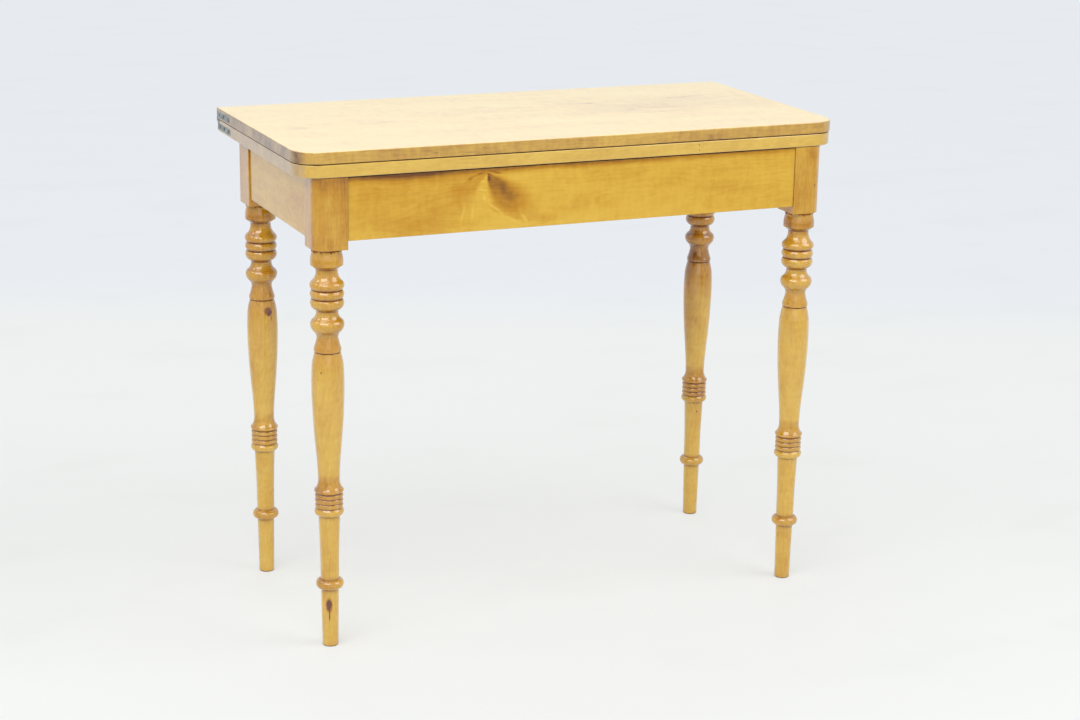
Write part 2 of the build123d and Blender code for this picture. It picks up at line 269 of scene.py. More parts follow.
@dataclass(frozen=True)
class Mark:
    """A knot, swirl, stain, dent or painted shade at its own place in the wood, in millimetres."""

    place: tuple[float, float, float]
    reach: tuple[float, float, float]
    depth: float
    swirl: float = 0.0
    turn: tuple[float, float, float] = (0.0, 0.0, 0.0)
    edge: float = 0.0
    waver: float = 0.4


@dataclass(frozen=True)
class Flame:
    """A wedge of other wood that spreads downward from a branch's foot on an upright front board.

    Angles are in degrees from straight down, to the right; each edge has its angle at the foot
    and the change of that angle over a hundred millimetres.
    """

    foot: tuple[float, float, float]
    left_edge: tuple[float, float]
    right_edge: tuple[float, float]
    reach: float
    depth: float
    softness: float = 7.0

    def share(self, graph: ShaderGraph, place: Socket) -> Socket:
        """How far the wedge takes hold of a point.

        Args:
            graph: The tree being written.
            place: Place in millimetres.

        Returns:
            A socket from 0 to 1.
        """
        offset = graph.vector("SUBTRACT", place, self.foot)
        parts = graph.add("ShaderNodeSeparateXYZ", {0: offset}).outputs
        angle = graph.math("ARCTAN2", parts[0], graph.product(parts[2], -1.0))
        degrees = graph.product(angle, 180 / math.pi)
        radius = graph.vector("LENGTH", graph.vector("MULTIPLY", offset, (1, 0, 1)))
        inside = graph.step(radius, self.reach, self.reach / 2)
        for (start, change), side in ((self.left_edge, 1), (self.right_edge, -1)):
            turned = graph.math("MULTIPLY_ADD", radius, -change / 100, degrees)
            edge = graph.step(turned, start - side * self.softness, start + side * self.softness)
            inside = graph.product(inside, edge)
        return inside


@dataclass(frozen=True)
class FaceTone:
    """Another tone and gloss on the faces that look one way, such as a bare underside."""

    side: Side
    palette: Palette
    share: float = 1.0
    roughness: float = 0.3
    lift: float = 0.0


@dataclass(frozen=True)
class WoodFinish:
    """Birch with the rings, streaks, curl and blotches of one board, under its varnish.

    The heart is a point, in millimetres, on the line of the tree's heart, which runs along the
    grain, so the faces of a board show the rings cut as they lie.
    """

    name: str
    grain: Grain
    palette: Palette
    heart: tuple[float, float, float]
    seed: float
    depth: float = 0.45
    blotch: float = 0.4
    figure: float = 0.35
    mottle: float = 0.3
    streak: float = 0.2
    curl: float = 0.15
    rings: float = 0.03
    ring_width: float = 3.4
    end_depth: float = 0.16
    roughness: float = 0.3
    coat: float = 1.0
    coat_roughness: float = 0.1
    coat_ior: float = 1.5
    body_gloss: float = 0.5
    soft_edge: float = 1.2
    lathe_pitch: float = 0.0
    lathe_height: float = 0.012
    pore_height: float = 0.035
    ripple_height: float = 0.16
    line_height: float = -0.005
    # Painted shade where nearby surfaces close in: its strength, its reach and its tint.
    shade: float = 0.5
    shade_reach: float = 18.0
    shade_tint: Tint = Tint(214, 176, 128)
    # Painted shade on downward faces in hollows: its strength and its tint.
    under: float = 0.0
    under_shade_tint: Tint = Tint(172, 128, 84)
    # Crevices darker, part dirt and part painted shade: strength, start, reach and tint.
    dirt_and_shade: float = 0.9
    crevice: float = 0.8
    crevice_reach: float = 4.0
    crevice_tint: Tint = Tint(62, 30, 10)
    # Edges paler, part wear and part painted highlight: strength and tint.
    wear_and_highlight: float = 0.3
    wear_and_highlight_tint: Tint = Tint(246, 222, 170)
    wander: float = 26.0
    flame_waver: float = 0.35
    marks: tuple[Mark, ...] = ()
    flames: tuple[Flame, ...] = ()
    faces: tuple[FaceTone, ...] = ()

    def ordered(self, along: float, across: float) -> tuple[float, ...]:
        """Lengths along and both ways across the grain, in the order of the frame's axes."""
        return tuple(along if axis == self.grain.value else across for axis in range(3))

    def make(self) -> bpy.types.Material:
        """The finish as a material.

        Returns:
            The material, ready for any object that keeps its place in its mesh.
        """
        material = bpy.data.materials.new(self.name)
        WoodGraph(self, material).build()
        return material


class WoodGraph(ShaderGraph):
    """The node tree of one wooden finish, with places and lengths in millimetres."""

    def __init__(self, wood: WoodFinish, material: bpy.types.Material) -> None:
        """Start the tree with the places at which the wood is read.

        Args:
            wood: The finish.
            material: The material that it becomes.
        """
        super().__init__(material)
        self.wood = wood
        coordinates = self.add("ShaderNodeTexCoord", {}).outputs
        self.normal = coordinates["Normal"]
        self.own = self.vector("MULTIPLY", coordinates["Object"], TO_MILLIMETRES)
        cloud = self.layer(self.own, Layer.WAVER, "Color")
        centred = self.vector("SUBTRACT", cloud, (0.5, 0.5, 0.5))
        self.waver = self.vector("MULTIPLY", centred, (wood.wander,) * 3)
        self.place = self.moved(1.0)
        seeds = (wood.seed, 2.7 * wood.seed, 1.9 * wood.seed)
        self.shifted = self.vector("ADD", self.place, seeds)

    def layer(self, place: Socket, layer: Layer, output: str = "Fac") -> Socket:
        """Noise of one layer: a number around one half, or three with Color."""
        along, across, detail = layer.value
        return self.noise(place, self.wood.ordered(along, across), detail, output)

    def moved(self, share: float) -> Socket:
        """The true place, moved by a share of the wood's waver."""
        return self.vector("ADD", self.own, self.vector("MULTIPLY", self.waver, (share,) * 3))

    def mark_share(self, mark: Mark) -> Socket:
        """How far a mark takes hold of a point.

        Args:
            mark: The mark.

        Returns:
            A socket from 0 to 1.
        """
        inputs = {
            "Vector": self.moved(mark.waver),
            "Location": mark.place,
            "Scale": mark.reach,
            "Rotation": mark.turn,
        }
        inside = self.add("ShaderNodeMapping", inputs, vector_type="TEXTURE").outputs[0]
        return self.step(self.vector("LENGTH", inside), 1.0, mark.edge)

    def ring_lines(self, shares: list[Socket]) -> Socket:
        """The thin dark lines where one year's growth ends.

        Args:
            shares: Holds of the marks, which push the rings aside.

        Returns:
            A socket from 0 between the lines to 1 on them.
        """
        offset = self.vector("SUBTRACT", self.place, self.wood.heart)
        flat = self.wood.ordered(RING_TAPER, 1.0)
        radius = self.vector("LENGTH", self.vector("MULTIPLY", offset, flat))
        for mark, share in zip(self.wood.marks, shares):
            if mark.swirl:
                radius = self.math("MULTIPLY_ADD", share, mark.swirl, radius)
        phase = self.math("FRACT", self.math("DIVIDE", radius, self.wood.ring_width))
        return self.product(self.step(phase, 0.35, 0.92), self.step(phase, 1.0, 0.95))

    def depth_of_tone(self, lines: Socket, shares: list[Socket]) -> Socket:
        """Where the wood lies on its scale of tones.

        Args:
            lines: Ring lines.
            shares: Holds of the marks.

        Returns:
            The depth, mostly from 0 to 1.
        """
        wood = self.wood
        amounts = {
            Layer.BLOTCH: wood.blotch,
            Layer.FIGURE: wood.figure,
            Layer.MOTTLE: wood.mottle,
            Layer.STREAK: wood.streak,
            Layer.CURL: wood.curl,
        }
        fleck = self.step(self.layer(self.shifted, Layer.FLECK), 0.70, 0.80)
        depth = self.total(
            wood.depth,
            *(self.sway(self.layer(self.shifted, each), size) for each, size in amounts.items()),
            self.product(lines, wood.rings),
            self.product(fleck, FLECK_DEPTH),
            *(self.product(share, mark.depth) for mark, share in zip(wood.marks, shares)),
        )
        drawn = self.moved(wood.flame_waver)
        for flame in wood.flames:
            depth = self.math("MULTIPLY_ADD", flame.share(self, drawn), flame.depth, depth)
        lengthwise = self.vector("DOT_PRODUCT", self.normal, wood.ordered(1.0, 0.0))
        end_grain = self.step(self.math("ABSOLUTE", lengthwise), 0.3, 0.95)
        return self.math("MULTIPLY_ADD", end_grain, wood.end_depth, depth)

    def relief(self, lines: Socket) -> Socket:
        """Height of the surface: pores, ripple of the varnish, and the rings that a lathe leaves.

        Args:
            lines: Ring lines.

        Returns:
            The height.
        """
        wood = self.wood
        height = self.total(
            self.sway(self.layer(self.place, Layer.PORES), wood.pore_height),
            self.sway(self.layer(self.place, Layer.RIPPLE), wood.ripple_height),
            self.product(lines, wood.line_height),
        )
        if wood.lathe_pitch:
            level = self.add("ShaderNodeSeparateXYZ", {0: self.own}).outputs[2]
            wave = self.math("SINE", self.product(level, 2 * math.pi / wood.lathe_pitch))
            patch = self.step(self.noise(self.own, (14, 14, 9), 1.0), 0.45, 0.65)
            lathed = self.product(wave, patch)
            height = self.math("MULTIPLY_ADD", lathed, wood.lathe_height, height)
        return height

    def aged_and_shaded(self, colour: Socket, bevel: Socket) -> tuple[Socket, Socket]:
        """The colour with paler edges, painted shade in hollows and underneath, and darker
        crevices.

        Args:
            colour: Colour of the wood.
            bevel: Normal with softened edges.

        Returns:
            The new colour, and how far the crevices are darkened.
        """
        wood = self.wood
        true_normal = self.add("ShaderNodeNewGeometry", {}).outputs["Normal"]
        # Edges paler: part wear, part painted highlight on the rounded arris.
        sharp_edge = self.step(self.vector("DOT_PRODUCT", bevel, true_normal), 0.985, 0.86)
        patchy = self.step(self.noise(self.own, (11, 11, 11), 3.0), 0.42, 0.62)
        worn_and_lit = self.product(sharp_edge, patchy, wood.wear_and_highlight)
        colour = self.mix(worn_and_lit, colour, wood.wear_and_highlight_tint.light())
        uneven = self.sway(self.noise(self.own, (5, 5, 5)), 0.16)
        # Painted shade: darker where nearby surfaces close in, within the shade reach.
        near = self.occlusion(wood.shade_reach)
        shaded = self.product(self.step(self.total(near, uneven), 0.8, 0.2), wood.shade)
        deeper = self.mix(1.0, colour, wood.shade_tint.light(), "MULTIPLY")
        colour = self.mix(shaded, colour, deeper)
        # Painted shade on downward faces that lie in hollows.
        if wood.under:
            downward = self.vector("DOT_PRODUCT", self.normal, Side.BELOW.value)
            under_shade = self.product(self.step(downward, 0.0, 0.6), self.step(near, 1.0, 0.82))
            under_shade_colour = self.mix(1.0, colour, wood.under_shade_tint.light(), "MULTIPLY")
            colour = self.mix(self.product(under_shade, wood.under), colour, under_shade_colour)
        # Crevices darker: part dirt, part painted shade.
        closed = self.total(self.occlusion(wood.crevice_reach), uneven)
        crevice_dark = self.step(closed, wood.crevice, wood.crevice - CREVICE_SPAN)
        return self.mix(self.product(crevice_dark, wood.dirt_and_shade), colour, wood.crevice_tint.light()), crevice_dark

    def build(self) -> None:
        """Write the tree: tones, faces, wear, dirt and painted shade, gloss and relief."""
        wood = self.wood
        shares = [self.mark_share(mark) for mark in wood.marks]
        lines = self.ring_lines(shares)
        depth = self.depth_of_tone(lines, shares)
        colour = self.ramp(depth, wood.palette)
        cloud = self.noise(self.shifted, (60, 60, 60), 3.0)
        roughness = self.total(wood.roughness, self.sway(cloud, 0.18))
        for tone in wood.faces:
            facing = self.vector("DOT_PRODUCT", self.normal, tone.side.value)
            mask = self.product(self.step(facing, 0.55, 0.9), tone.share)
            other = self.ramp(self.total(depth, tone.lift), tone.palette)
            colour = self.mix(mask, colour, other)
            change = self.math("SUBTRACT", tone.roughness, roughness)
            roughness = self.math("MULTIPLY_ADD", change, mask, roughness)
        bevel = self.bevel(wood.soft_edge)
        colour, crevice_dark = self.aged_and_shaded(colour, bevel)
        looks = {
            "Base Color": colour,
            "Roughness": self.math("MULTIPLY_ADD", crevice_dark, DIRT_ROUGHNESS, roughness),
            "Coat Weight": wood.coat,
            "Coat Roughness": wood.coat_roughness,
            "Coat IOR": wood.coat_ior,
            "Specular IOR Level": wood.body_gloss,
        }
        self.finish(self.relief(lines), bevel, looks)


@dataclass(frozen=True)
class IronFinish:
    """Old iron: dull and uneven, with rust in its pores, softened edges and dark corners."""

    name: str
    plain: Tint
    dark: Tint
    rust: Tint
    rust_share: float = 0.35
    roughness: float = 0.42
    metal: float = 0.75
    soft_edge: float = 0.4
    corner_reach: float = 2.0
    crevice_tint: Tint = Tint(22, 18, 15)

    def make(self) -> bpy.types.Material:
        """The finish as a material.

        Returns:
            The material.
        """
        material = bpy.data.materials.new(self.name)
        graph = ShaderGraph(material)
        place = graph.add("ShaderNodeTexCoord", {}).outputs["Object"]
        own = graph.vector("MULTIPLY", place, TO_MILLIMETRES)
        cloud = graph.noise(own, (6, 6, 6), 5.0)
        colour = graph.mix(graph.step(cloud, 0.35, 0.65), self.plain.light(), self.dark.light())
        rusty = graph.step(graph.noise(own, (3.2, 3.2, 3.2), 6.0), 0.54, 0.66)
        colour = graph.mix(graph.product(rusty, self.rust_share), colour, self.rust.light())
        # Darker in the corners.
        crevice_dark = graph.step(graph.occlusion(self.corner_reach), 0.7, 0.3)
        colour = graph.mix(crevice_dark, colour, self.crevice_tint.light())
        rougher = graph.product(rusty, 0.2)
        roughness = graph.total(self.roughness, graph.sway(cloud, 0.3), rougher)
        pits = graph.sway(graph.noise(own, (0.8, 0.8, 0.8), 3.0), 0.03)
        height = graph.total(graph.sway(cloud, 0.08), pits)
        looks = {"Base Color": colour, "Roughness": roughness, "Metallic": self.metal}
        graph.finish(height, graph.bevel(self.soft_edge), looks)
        return material


# The tones of each wood from its palest to its darkest, as they are seen, in parts of 255
VARNISHED = ((240, 208, 110), (229, 191, 78), (218, 173, 54), (191, 133, 0), (114, 64, 4))
EDGED = ((236, 204, 114), (221, 183, 80), (207, 165, 69), (180, 135, 54), (104, 69, 38))
TURNED = ((236, 206, 130), (226, 189, 88), (216, 171, 56), (189, 131, 0), (106, 40, 0))
# Upper face of the folding leaf: paler, part bleached and part painted light from above.
PALE_AND_LIT_TOP = ((255, 238, 179), (253, 230, 161), (250, 220, 149), (233, 199, 138), (178, 142, 98))
# End grain of the leaves: paler and greyer, part the wood and part painted reflection.
END_GRAIN_AND_SHEEN = ((219, 198, 162), (207, 183, 145), (193, 167, 129), (171, 142, 106), (102, 76, 52))
TORN = ((190, 134, 62), (168, 108, 44), (144, 84, 30), (114, 62, 20), (78, 40, 12))
BARE = ((226, 205, 168), (216, 191, 150), (202, 173, 130), (178, 145, 102), (116, 84, 56))


def dress(nodes: list[str], material: bpy.types.Material) -> None:
    """Give nodes of the frame their finish.

    Args:
        nodes: Names of the nodes.
        material: The finish.
    """
    for name in nodes:
        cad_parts[name].material_slots[0].material = material
        log.info("dressed %s in %s", name, material.name)


def new_piece(
    name: str, points: list[Vector], faces: list[tuple], material: bpy.types.Material
) -> bpy.types.Object:
    """Make a mesh piece.

    Args:
        name: Its name.
        points: Its points, in the row frame.
        faces: Its faces, as numbers of points.
        material: Its finish.

    Returns:
        The piece, linked to the scene.
    """
    mesh = bpy.data.meshes.new(name)
    mesh.from_pydata([tuple(p) for p in points], [], faces)
    mesh.materials.append(material)
    tidy = bmesh.new()
    tidy.from_mesh(mesh)
    bmesh.ops.recalc_face_normals(tidy, faces=tidy.faces[:])
    tidy.to_mesh(mesh)
    tidy.free()
    piece = bpy.data.objects.new(name, mesh)
    bpy.context.scene.collection.objects.link(piece)
    log.info("built %s with %d faces", name, len(mesh.polygons))
    return piece


@dataclass
class TopLeaves:
    """The folding leaf and the lower leaf that it lies on."""

    heart_below: float = 150.0

    def fly_finish(self) -> WoodFinish:
        """Folding leaf: upper face paler, part bleached, part painted light; edges brown and curly.

        Returns:
            The finish.
        """
        marks = (
            Mark((132, 65, 770), (44, 14, 30), 0.26, 5.0),
            Mark((326, 78, 770), (66, 16, 30), 0.26, 7.0, (0, 0, 0.15)),
            Mark((214, -44, 770), (64, 12, 30), 0.2),
            Mark((77, 104, 770), (28, 10, 30), 0.2),
            Mark((-47, 81, 770), (26, 10, 30), 0.22),
            Mark((-232, 3, 770), (26, 8, 30), 0.24),
            Mark((-379, -14, 770), (28, 10, 30), 0.28, 3.0),
            Mark((240, 20, 770), (260, 130, 40), 0.24, 9.0),
            Mark((-413.8, -206, 765.2), (2.6, 9, 1.5), -0.5, **CRISP),
            Mark((-309.3, -213, 752.6), (3.4, 4, 1.2), -0.3, **CRISP),
            Mark((-236, -213, 759.4), (7.5, 4, 0.6), 0.5, **CRISP),
            Mark((-181, -213, 757.2), (13, 4, 0.5), 0.5, **CRISP),
            Mark((-158, -213, 763), (5, 4, 0.5), 0.4, **CRISP),
            Mark((330, -213, 757), (260, 12, 60), 0.09, **CRISP),
        )
        # Ends paler and greyer: part end grain, part painted reflection.
        ends = [FaceTone(side, END_GRAIN_AND_SHEEN, 0.8, lift=0.14) for side in (Side.LEFT, Side.RIGHT)]
        heart = (0, 60, 770 - self.heart_below)
        return WoodFinish(
            "fly_leaf_birch", Grain.WIDTH, EDGED, heart, seed=31.0, depth=0.56,
            curl=0.36, rings=0.05, streak=0.1, coat_roughness=0.34, marks=marks,
            # Upper face paler, part bleached and part painted light from above.
            faces=(FaceTone(Side.ABOVE, PALE_AND_LIT_TOP, lift=-0.1), *ends),
        )

    def lower_finish(self) -> WoodFinish:
        """Finish of the lower leaf: golden, bare underneath.

        Returns:
            The finish.
        """
        marks = (
            Mark((198, -213, 746), (1.1, 4, 1.1), 0.9, edge=0.4, waver=0.0),
            Mark((198.5, -213, 738), (1.1, 4, 1.1), 0.9, edge=0.4, waver=0.0),
            Mark((330, -213, 740), (260, 20, 60), 0.1, **CRISP),
        )
        # Ends paler and greyer: part end grain, part painted reflection.
        ends = [FaceTone(side, END_GRAIN_AND_SHEEN, 0.8, lift=0.16) for side in (Side.LEFT, Side.RIGHT)]
        heart = (0, -90, 740 - self.heart_below)
        return WoodFinish(
            "lower_leaf_birch", Grain.WIDTH, EDGED, heart, seed=83.0, depth=0.36, curl=0.12,
            marks=marks, faces=(FaceTone(Side.BELOW, BARE, roughness=0.75), *ends),
        )

    def build(self) -> None:
        """Dress both leaves."""
        dress(["fly_leaf"], self.fly_finish().make())
        dress(["lower_leaf"], self.lower_finish().make())


@dataclass
class ApronFrame:
    """The four aprons between the legs."""

    heart_depth: float = 70.0
    front: float = -210.0
    through: float = 40.0
    # x, z, half width, half height, depth, and dip of the right end in degrees
    streaks: tuple[tuple[float, ...], ...] = (
        (-167, 722, 14, 3, 0.24, -16),
        (-180, 717, 10, 5, 0.2, -30),
        (-138, 724, 16, 3, 0.2, 14),
        (-160, 711, 7, 3, -0.22, 0),
        (-160, 698, 11, 1.8, -0.2, 16),
        (-157, 686, 4, 9, -0.16, -12),
        (-140, 671, 19, 2.2, -0.16, 36),
        (-142, 667.2, 18, 2.0, 0.13, 36),
        (-176, 668, 3.4, 25, -0.14, 8),
        (-192, 664, 3, 24, -0.12, 14),
        (-92, 653, 4.2, 14, -0.2, -35),
        (-110, 650, 26, 5, -0.16, 24),
        (-60, 650, 34, 13, 0.14, 0),
        (-206, 700, 34, 20, 0.06, 0),
        (-245, 722, 90, 14, 0.08, 0),
    )

    def front_finish(self) -> WoodFinish:
        """Finish of the front apron, with the swirl of a branch near its upper edge.

        Returns:
            The finish.
        """
        foot = (-153, self.front, 724)
        flames = (
            Flame(foot, (-42, 0), (-2, 38), 170, -0.05, 9.0),
            Flame(foot, (-2, 38), (72, -16), 120, 0.31, 12.0),
            Flame(foot, (-70, -6), (-34, 4), 80, 0.1, 9.0),
        )
        lean = (0, math.radians(-40), 0)
        streaks = [
            Mark((x, self.front, z), (wide, self.through, up), deep, turn=(0, math.radians(dip), 0))
            for x, z, wide, up, deep, dip in self.streaks
        ]
        marks = (
            Mark((-150.5, self.front, 715), (4.5, self.through, 7), 0.2),
            Mark((-124, self.front, 694), (12, self.through, 34), 0.13, turn=lean, waver=0.2),
            Mark((330, self.front, 690), (230, 70, 90), 0.08, edge=0.2),
            *streaks,
            Mark((-255, self.front, 690), (190, 70, 90), 0.16, edge=0.3),
            # Painted shadow under the leaf's overhang along the upper edge, stronger at the left.
            Mark((-340, self.front, 735), (150, 70, 22), 0.26, edge=0.2),
            Mark((0, self.front, 733), (620, 70, 15), 0.36, edge=0.2),
        )
        heart = (0, self.front - self.heart_depth, 660)
        return WoodFinish(
            "front_apron_birch", Grain.WIDTH, VARNISHED, heart, seed=12.0, depth=0.48,
            blotch=0.28, figure=0.18, mottle=0.14, streak=0.1, body_gloss=0.2,
            marks=marks, flames=flames, faces=(FaceTone(Side.BACK, BARE, roughness=0.75),),
        )

    def build(self) -> None:
        """Dress the aprons, each from a board of its own."""
        dress(["front_apron"], self.front_finish().make())
        others = (
            ("back_apron", Grain.WIDTH, (0, 173 + self.heart_depth, 700), Side.FRONT, 57.0),
            ("left_apron", Grain.DEPTH, (-419 - self.heart_depth, 0, 670), Side.RIGHT, 140.0),
            ("right_apron", Grain.DEPTH, (419 + self.heart_depth, 0, 700), Side.LEFT, 203.0),
        )
        for node, grain, heart, inner_side, seed in others:
            bare = (FaceTone(inner_side, BARE, roughness=0.75),)
            finish = WoodFinish(
                f"{node}_birch", grain, VARNISHED, heart, seed,
                depth=0.58, figure=0.24, mottle=0.2, body_gloss=0.3, faces=bare,
            )
            dress([node], finish.make())


LEG_MARKS: dict[str, tuple[Mark, ...]] = {
    "front_left_leg": (
        Mark((-401.4, -199.5, 68), (6.6, 9, 16), 0.5, 3.0, edge=0.35, waver=0.04),
        Mark((-401.4, -199.0, 70.5), (4.4, 7, 6.6), 0.9, edge=0.5, waver=0.04),
        Mark((-400.9, -199.0, 51), (1.2, 6, 11), 0.8, edge=0.3, waver=0.02),
        Mark((-412.4, -206, 439.5), (1.4, 4, 2.2), 0.6, **CRISP),
        # Painted shadow of the leaf across the top of the block.
        Mark((-398, -212, 742), (60, 26, 48), 0.19, waver=0.2),
        Mark((-398, -212, 634), (10, 20, 14), 0.08, waver=0.15),
        Mark((-380, -212, 652), (9, 20, 18), 0.07, waver=0.3),
    ),
    "front_right_leg": (
        Mark((396, -190, 680), (60, 60, 75), -0.07, edge=0.8),
        Mark((403, -212, 720), (18, 40, 30), 0.08, waver=0.2),
        Mark((407.2, -212, 669.1), (1.5, 40, 1.8), 0.6, edge=0.4, waver=0.0),
        Mark((394, -212, 655), (22, 40, 26), 0.06, waver=0.3),
        Mark((396, -187, 603), (60, 60, 20), 0.08, edge=0.3, waver=0.1),
    ),
    "back_left_leg": (
        Mark((-393.2, 127, 450.5), (8.8, 9, 8.6), 0.31, 4.0, (0, 0.5, 0), 0.5, 0.1),
        Mark((-390.6, 127, 446.5), (4.6, 9, 7.4), 0.3, 0.0, (0, 0.6, 0), 0.3, 0.1),
        Mark((-388.0, 127, 439), (2.2, 9, 9), 0.3, waver=0.1),
        Mark((-396, 150, 520), (300, 60, 120), 0.1, edge=0.3),
        Mark((-396, 147, 603), (60, 60, 20), 0.03, edge=0.3, waver=0.1),
        Mark((-396, 147, 480), (60, 60, 22), -0.08, edge=0.3, waver=0.1),
    ),
    "back_right_leg": (
        # Darker upper leg: part its own tone, part painted shade.
        Mark((396, 150, 500), (300, 60, 240), 0.18, edge=0.3),
        Mark((394.8, 134, 194.6), (1.8, 6, 2.2), 0.8, **CRISP),
        Mark((384, 130, 363), (4, 9, 12), 0.16),
        Mark((397, 130, 389), (2, 9, 12), 0.2, turn=(0, math.radians(20), 0)),
    ),
}


@dataclass
class TurnedLegs:
    """The four turned legs with their square blocks."""

    heart_aside: float = 34.0
    block_foot: float = 624.0
    first_seed: float = 17.0
    seed_step: float = 61.0
    # Height, reach aside, reach upward, depth and edge: upper turnings, rings, bead, collar, cone
    bands: tuple[tuple[float, ...], ...] = (
        (624.0, 600.0, 230.0, 0.12, 0.6),
        (249.0, 300.0, 32.0, 0.16, 0.6),
        (100.5, 300.0, 15.0, 0.12, 0.5),
        (603.0, 300.0, 22.0, 0.07, 0.5),
        # The cone's band is painted shade.
        (480.0, 300.0, 20.0, 0.09, 0.3),
    )

    def tones(self, middle: Vector) -> list[Mark]:
        """The tones that all legs have.

        The block is deeper, because soft turning hasn't opened it up, and so is the varnish on the
        upper turnings and where it has gathered round the rings, the bead and the collar; the band
        at the top of the cone is painted shade.

        Args:
            middle: Middle of the leg, in millimetres.

        Returns:
            Marks for the block and for each band.
        """
        tall = 2 * middle.z - self.block_foot
        block = (self.block_foot + tall / 2, 4 * tall, 0.52 * tall, 0.09, 0.94)
        return [
            Mark((middle.x, middle.y, height), (aside, aside, upward), depth, edge=edge, waver=0.0)
            for height, aside, upward, depth, edge in (block, *self.bands)
        ]

    def build(self) -> None:
        """Dress the legs, each with the marks of its own piece of birch."""
        for number, node in enumerate(LEGS):
            low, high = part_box(node)
            middle = (low + high) / 2 / MILLIMETRE
            heart = (middle.x + self.heart_aside, middle.y + self.heart_aside / 2, middle.z)
            finish = WoodFinish(
                f"{node}_birch", Grain.HEIGHT, TURNED, heart,
                seed=self.first_seed + self.seed_step * number,
                depth=0.5, figure=0.26, mottle=0.18, streak=0.12, end_depth=0.1,
                roughness=0.2, coat_roughness=0.07, coat_ior=1.72, body_gloss=0.2,
                # Downward faces in hollows get painted shade; crevices darken, part dirt and part
                # painted shade.
                soft_edge=0.5, lathe_pitch=1.6, under=1.0, under_shade_tint=Tint(158, 108, 62),
                crevice=0.9, dirt_and_shade=0.75, crevice_tint=Tint(124, 72, 26),
                marks=(*self.tones(middle), *LEG_MARKS[node]),
            )
            dress([node], finish.make())


@dataclass
class TornShoulders:
    """The ragged line where the lathe tool tore the grain, right under each square block."""

    block_foot: float = 0.624
    least_drop: float = 0.0012
    most_drop: float = 0.0064
    top_gap: float = 0.00005
    lift: float = 0.00012
    sunk: float = 0.0004
    cast_from: float = 0.06
    steps: int = 132
    rows: int = 4
    seed: int = 23
    evening: float = 0.4

    def section(self, tree: BVHTree, axis: Vector, angle: float, drop: float) -> list[Vector]:
        """Section through the band: its outer line downward, then its line inside the wood upward.

        Args:
            tree: The leg's surface.
            axis: Middle of the leg.
            angle: Direction from the middle.
            drop: How far the band hangs down here.

        Returns:
            The points of the section, as a closed loop.
        """
        outward = Vector((math.cos(angle), math.sin(angle), 0))
        line = []
        for row in range(self.rows):
            height = self.block_foot - self.top_gap - drop * row / (self.rows - 1)
            start = Vector((axis.x, axis.y, height)) + self.cast_from * outward
            line.append(tree.ray_cast(start, -outward)[0])
        outside = [point + self.lift * outward for point in line]
        return outside + [point - self.sunk * outward for point in reversed(line)]

    def build_one(self, leg: str, finish: bpy.types.Material, dice: random.Random) -> None:
        """Lay the ragged band round one leg.

        Args:
            leg: Name of the leg's node.
            finish: Finish of torn wood.
            dice: Source of its unevenness.
        """
        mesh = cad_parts[leg].data
        corners, sides = [v.co for v in mesh.vertices], [p.vertices[:] for p in mesh.polygons]
        tree = BVHTree.FromPolygons(corners, sides)
        low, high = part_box(leg)
        axis = (low + high) / 2
        span = self.most_drop - self.least_drop
        drops = [self.least_drop + span * dice.random() ** 2 for _ in range(self.steps)]
        points, faces = [], []
        for step in range(self.steps):
            drop = (1 - self.evening) * drops[step] + self.evening * drops[step - 1]
            points += self.section(tree, axis, 2 * math.pi * step / self.steps, drop)
        loop = 2 * self.rows
        for step in range(self.steps):
            here, there = step * loop, (step + 1) % self.steps * loop
            for row in range(loop):
                beside = (row + 1) % loop
                faces.append((here + row, there + row, there + beside, here + beside))
        band = new_piece(f"{leg}_torn_grain", points, faces, finish)
        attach(band, "frame")

    def build(self) -> None:
        """Lay the band round all four legs."""
        dice = random.Random(self.seed)
        finish = WoodFinish(
            "torn_grain", Grain.HEIGHT, TORN, heart=(0, 0, 600), seed=411.0, mottle=0.6, streak=0.5,
            roughness=0.7, coat=0.0, body_gloss=0.2, wear_and_highlight=0.0, dirt_and_shade=0.3,
        ).make()
        for leg in LEGS:
            self.build_one(leg, finish, dice)


@dataclass
class CardWell:
    """The rail, the well and the stop block, all of bare wood."""

    heart_below: float = 60.0
    first_seed: float = 300.0
    seed_step: float = 47.0

    def build(self) -> None:
        """Dress the inner wood, grain along each piece's length."""
        for number, (node, grain) in enumerate((
            ("pivot_rail", Grain.DEPTH),
            ("well_board", Grain.WIDTH),
            ("well_partition", Grain.DEPTH),
            ("front_ledger", Grain.WIDTH),
            ("back_ledger", Grain.WIDTH),
            ("right_ledger", Grain.DEPTH),
            ("stop_block", Grain.WIDTH),
        )):
            low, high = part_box(node)
            heart = (low + high) / 2 / MILLIMETRE - Vector((0, 0, self.heart_below))
            seed = self.first_seed + self.seed_step * number
            finish = WoodFinish(
                f"{node}_bare", grain, BARE, tuple(heart), seed,
                roughness=0.72, coat=0.0, wear_and_highlight=0.1, crevice_tint=Tint(92, 68, 48),
            )
            dress([node], finish.make())


